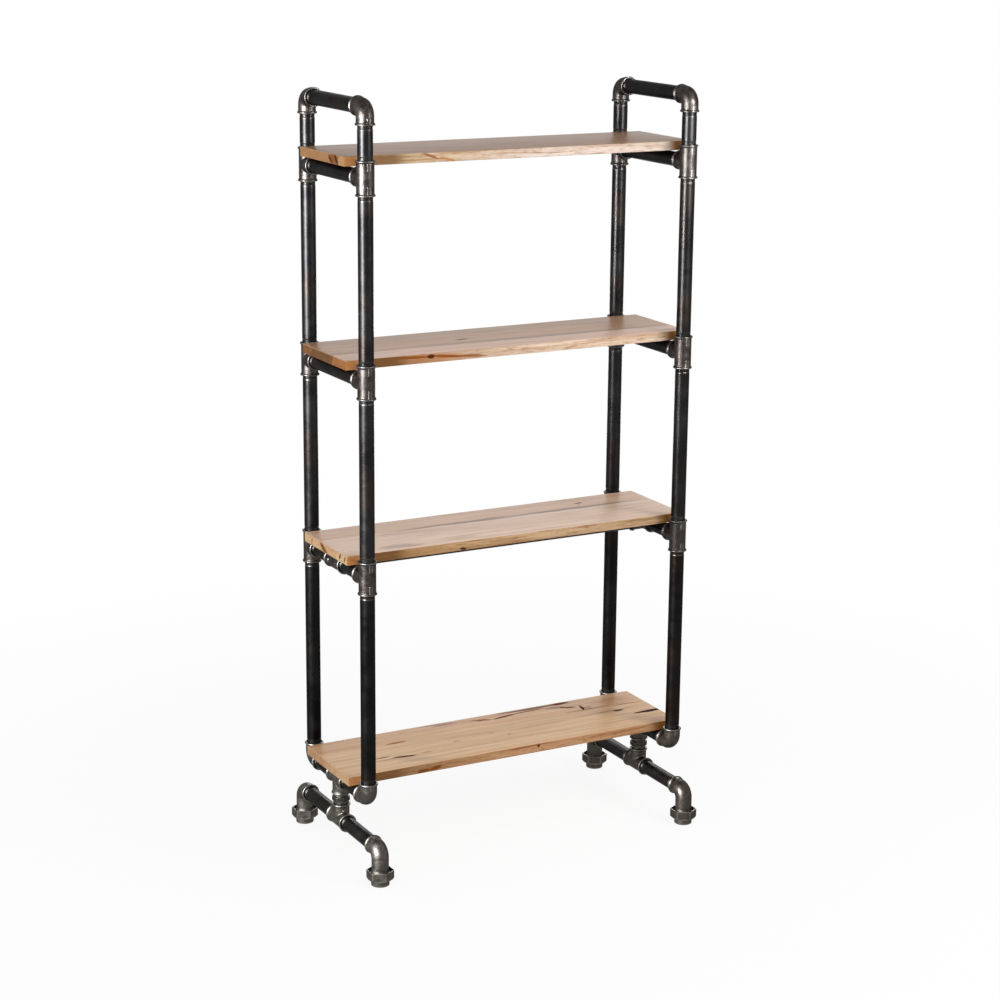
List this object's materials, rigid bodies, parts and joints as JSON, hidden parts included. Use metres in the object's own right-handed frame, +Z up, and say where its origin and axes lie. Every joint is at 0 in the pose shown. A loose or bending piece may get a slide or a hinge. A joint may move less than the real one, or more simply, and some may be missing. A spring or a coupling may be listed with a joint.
{
  "type": "bookcase",
  "caption": "Tall open bookcase: end frames of dark threaded pipe and cast fittings, solid wood boards between front and rear uprights, handle loops on top, levelling union nut feet.",
  "frame": {"origin": "on the floor, midway between the four feet", "axes": "+X to the right along the boards, -Y to the front, +Z up"},
  "size_m": [0.872, 0.4836, 1.75],
  "materials": {
    "pipe_steel": "near black mill finish with a brown cast, semi-gloss",
    "fitting_iron": "brown grey cast patina, semi-gloss, brighter on the rims",
    "board_wood": "clear matt oil on edge-glued hardwood with knots and dark checks"
  },
  "bodies": {
    "root": {"left_front_foot_elbow": "fitting_iron", "left_rear_foot_elbow": "fitting_iron", "left_foot_bar": "fitting_iron", "left_stem_nipple": "fitting_iron", "left_lower_rail": "fitting_iron", "left_front_pipe_1": "pipe_steel", "left_front_tee_1": "fitting_iron", "left_front_pipe_2": "pipe_steel", "left_front_tee_2": "fitting_iron", "left_front_pipe_3": "pipe_steel", "left_front_tee_3": "fitting_iron", "left_front_riser": "pipe_steel", "left_rear_pipe_1": "pipe_steel", "left_rear_tee_1": "fitting_iron", "left_rear_pipe_2": "pipe_steel", "left_rear_tee_2": "fitting_iron", "left_rear_pipe_3": "pipe_steel", "left_rear_tee_3": "fitting_iron", "left_rear_riser": "pipe_steel", "left_rail_1": "pipe_steel", "left_rail_2": "pipe_steel", "left_rail_3": "pipe_steel", "left_handle": "fitting_iron", "right_front_foot_elbow": "fitting_iron", "right_rear_foot_elbow": "fitting_iron", "right_foot_bar": "fitting_iron", "right_stem_nipple": "fitting_iron", "right_lower_rail": "fitting_iron", "right_front_pipe_1": "pipe_steel", "right_front_tee_1": "fitting_iron", "right_front_pipe_2": "pipe_steel", "right_front_tee_2": "fitting_iron", "right_front_pipe_3": "pipe_steel", "right_front_tee_3": "fitting_iron", "right_front_riser": "pipe_steel", "right_rear_pipe_1": "pipe_steel", "right_rear_tee_1": "fitting_iron", "right_rear_pipe_2": "pipe_steel", "right_rear_tee_2": "fitting_iron", "right_rear_pipe_3": "pipe_steel", "right_rear_tee_3": "fitting_iron", "right_rear_riser": "pipe_steel", "right_rail_1": "pipe_steel", "right_rail_2": "pipe_steel", "right_rail_3": "pipe_steel", "right_handle": "fitting_iron", "stretcher": "pipe_steel", "board_0": "board_wood", "board_1": "board_wood", "board_2": "board_wood", "board_3": "board_wood"},
    "left_front_foot": {"left_front_foot": "fitting_iron"},
    "left_front_nut": {"left_front_foot_nut": "fitting_iron"},
    "left_rear_foot": {"left_rear_foot": "fitting_iron"},
    "left_rear_nut": {"left_rear_foot_nut": "fitting_iron"},
    "right_front_foot": {"right_front_foot": "fitting_iron"},
    "right_front_nut": {"right_front_foot_nut": "fitting_iron"},
    "right_rear_foot": {"right_rear_foot": "fitting_iron"},
    "right_rear_nut": {"right_rear_foot_nut": "fitting_iron"}
  },
  "joints": [
    {"name": "left_front_foot_height", "type": "slide", "parent": "root", "child": "left_front_foot", "axis": [0, 0, -1], "range_m": [0, 0.0046]},
    {"name": "left_front_nut_turn", "type": "hinge", "parent": "left_front_foot", "child": "left_front_nut", "pos_m": [-0.403, -0.21, 0.0255], "axis": [0, 0, 1], "range_deg": [0, 720]},
    {"name": "left_rear_foot_height", "type": "slide", "parent": "root", "child": "left_rear_foot", "axis": [0, 0, -1], "range_m": [0, 0.0046]},
    {"name": "left_rear_nut_turn", "type": "hinge", "parent": "left_rear_foot", "child": "left_rear_nut", "pos_m": [-0.403, 0.21, 0.0255], "axis": [0, 0, 1], "range_deg": [0, 720]},
    {"name": "right_front_foot_height", "type": "slide", "parent": "root", "child": "right_front_foot", "axis": [0, 0, -1], "range_m": [0, 0.0046]},
    {"name": "right_front_nut_turn", "type": "hinge", "parent": "right_front_foot", "child": "right_front_nut", "pos_m": [0.403, -0.21, 0.0255], "axis": [0, 0, 1], "range_deg": [0, 720]},
    {"name": "right_rear_foot_height", "type": "slide", "parent": "root", "child": "right_rear_foot", "axis": [0, 0, -1], "range_m": [0, 0.0046]},
    {"name": "right_rear_nut_turn", "type": "hinge", "parent": "right_rear_foot", "child": "right_rear_nut", "pos_m": [0.403, 0.21, 0.0255], "axis": [0, 0, 1], "range_deg": [0, 720]}
  ],
  "couplings": [
    {"joint": "left_front_foot_height", "follows": "left_front_nut_turn", "m_per_rad": 0.000366},
    {"joint": "left_rear_foot_height", "follows": "left_rear_nut_turn", "m_per_rad": 0.000366},
    {"joint": "right_front_foot_height", "follows": "right_front_nut_turn", "m_per_rad": 0.000366},
    {"joint": "right_rear_foot_height", "follows": "right_rear_nut_turn", "m_per_rad": 0.000366}
  ]
}
